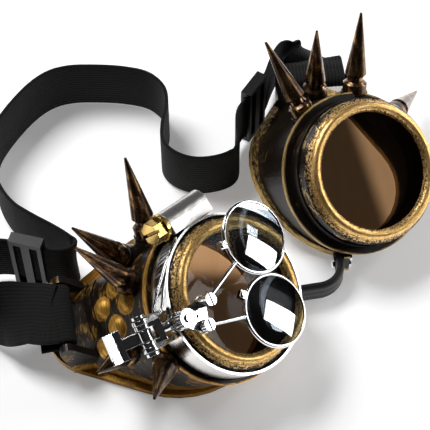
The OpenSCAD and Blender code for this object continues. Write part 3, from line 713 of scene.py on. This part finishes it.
start = along(LEFT_BUCKLE, LEFT_TURN, -0.3)
strap_end(
    "left", left, LEFT_AT, 10, (start, along(start, LEFT_TURN, -STRAIGHT)),
    [(-88, -18, BUCKLE_Z), (-94, -22, 15), (-97, -29, 14), (-95, -36, 13.5), (-90, -40.5, 13.5),
     (-84, -42, 14), (-79, -42.5, 15), (-74, -43, 16), (-68, -43.6, 17.5)],
    [UP, UP, UP, UP, (0, 0.2, 1), (0, 0.55, 0.8), (0, 0.85, 0.55), (0, 0.97, 0.25)])

start = along(RIGHT_BUCKLE, RIGHT_TURN, 0.3)
strap_end(
    "right", right, RIGHT_AT, 8, (start, along(start, RIGHT_TURN, STRAIGHT)),
    [(23.2, 72, BUCKLE_Z), (25.4, 78.4, 15), (28.2, 83.4, 14.2), (32.2, 86.8, 13.9), (37.8, 89.7, 14.9),
     (41.2, 84.5, 14.2), (41.6, 81.3, 16.3), (41.8, 79.4, 17.9)],
    [UP, UP, UP, (0, -0.34, 0.94), (-0.25, -0.46, 0.85), (-0.56, -0.73, 0.39), (-0.93, -0.33, 0.18),
     (-0.8, -0.5, 0.22)])


# The bridge, in the left cup's frame

BRIDGE_START = 45
BRIDGE_Y = -0.4
BRIDGE_Z = 6
BRIDGE_W = 10
BRIDGE_T = 3
BRIDGE_BEND = 10.0
BRIDGE_SWEEP = 85
BEND_START = 62.07
AFTER_BEND = 4.62


def bridge_path():
    """The bridge's middle line: straight, one bend, straight."""
    sweep = math.radians(BRIDGE_SWEEP)
    points = [(BRIDGE_START + i * (BEND_START - BRIDGE_START) / 8, BRIDGE_Y) for i in range(9)]
    for i in range(1, 17):
        a = i * sweep / 16
        points.append((BEND_START + BRIDGE_BEND * math.sin(a), BRIDGE_Y + BRIDGE_BEND * (1 - math.cos(a))))
    x, y = points[-1]
    for i in range(1, 5):
        r = i * AFTER_BEND / 4
        points.append((x + r * math.cos(sweep), y + r * math.sin(sweep)))
    return points


bridge_points = [left.point((x, y, BRIDGE_Z)) - SHIFT for x, y in bridge_path()]
bridge = band("bridge", bridge_points, [UP] * len(bridge_points), BRIDGE_W, BRIDGE_T, bridge_rubber, cords=3)
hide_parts("nose_bridge")
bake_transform(bridge)


# Floor, world and lights

FLOOR_REACH = 3.0
FLOOR_Z = -0.0002
INSIDE_R = 40
UNLIT_SHADE = 0.88
CAMERA_GLOW = 0.25
FAR_FROM, FAR_TO = 200, 700

# For each cup, a direction across the table, and how far along it the light under the rim begins, in mm
LIT_EDGES = ((left, (0, 1, 0), -15.6), (right, (0.977, 0.211, 0), 76.8))


def floor_material():
    """White, whiter far away, and dark inside the cups apart from where light comes in under their rims."""
    t = new_tree("floor")
    rays = t.nodes.new("ShaderNodeLightPath")
    mirrored = t.most(rays.outputs["Is Glossy Ray"], rays.outputs["Is Transmission Ray"])
    p = t.place()
    dark = 0.0
    for cup, towards, edge in LIT_EDGES:
        distance = t.vector("DISTANCE", p, tuple(cup.point((0, 0, 0))))
        inside = t.inverse(t.ramp(distance, INSIDE_R, INSIDE_R + 6))
        unlit = t.inverse(t.ramp(t.vector("DOT_PRODUCT", p, towards), edge - 5, edge + 3))
        dark = t.most(dark, t.times(inside, unlit))
    through = t.times(mirrored, t.inverse(t.times(dark, UNLIT_SHADE)))
    far = t.ramp(t.vector("LENGTH", p), FAR_FROM, FAR_TO)
    seen = t.times(rays.outputs["Is Camera Ray"], t.plus(t.times(far, 1 - CAMERA_GLOW), CAMERA_GLOW))
    glow = t.nodes.new("ShaderNodeEmission")
    t.put(glow.inputs["Color"], (1, 1, 1))
    t.put(glow.inputs["Strength"], t.most(seen, through))
    both = t.nodes.new("ShaderNodeAddShader")
    t.links.new(t.shader.outputs[0], both.inputs[0])
    t.links.new(glow.outputs[0], both.inputs[1])
    t.links.new(both.outputs[0], t.nodes["Material Output"].inputs["Surface"])
    return t.set(Base_Color=(0.93, 0.93, 0.94), Roughness=0.6, Specular_IOR_Level=0.2)


corners = [(x * FLOOR_REACH, y * FLOOR_REACH, FLOOR_Z) for x, y in ((-1, -1), (1, -1), (1, 1), (-1, 1))]
floor_mesh = bpy.data.meshes.new("floor")
floor_mesh.from_pydata(corners, [], [(0, 1, 2, 3)])
floor_mesh.materials.append(floor_material())
placed("floor", floor_mesh)

# The world: brightest overhead, dimmer in front and near the horizon, patchy, and white to the camera
world = bpy.data.worlds.new("studio")
bpy.context.scene.world = world
sky = Tree(world)
ray = sky.nodes.new("ShaderNodeTexCoord").outputs["Generated"]
split = sky.nodes.new("ShaderNodeSeparateXYZ")
sky.put(split.inputs[0], ray)
overhead = sky.ramp(split.outputs["Z"], 0.15, 0.75, 0.1, 1.5)
front = sky.ramp(split.outputs["Y"], -0.7, 0.2, 0.3, 1.0, smooth=False)
patches = sky.ramp(sky.noise(ray, 2.4, 1.0, 0.5), 0.38, 0.62, 0.35, 1.2, smooth=False)
light = sky.times(sky.times(overhead, front), patches)
camera_ray = sky.nodes.new("ShaderNodeLightPath").outputs["Is Camera Ray"]
sky.put(sky.nodes["Background"].inputs["Strength"], sky.most(light, camera_ray))

LIT_POINT = Vector((0.02, 0, 0.03))


def lamp(name, direction, distance, wide, high, power):
    """A soft area light at a distance in a direction, facing the goggles."""
    data = bpy.data.lights.new(name, "AREA")
    data.shape = "RECTANGLE"
    data.size, data.size_y = wide, high
    data.energy = power
    piece = placed(name, data)
    piece.location = Vector(direction).normalized() * distance + LIT_POINT
    piece.rotation_euler = (-Vector(direction)).to_track_quat("-Z", "Y").to_euler()


lamp("near_window", (0.95, 0.0, 0.36), 0.9, 0.18, 0.34, 2.4)
lamp("far_window", (0.80, 0.5, 0.36), 0.9, 0.2, 0.34, 2.4)
lamp("overhead", (-0.45, 0.35, 0.82), 0.8, 0.35, 0.35, 6.0)

bpy.context.scene.view_settings.view_transform = "Standard"
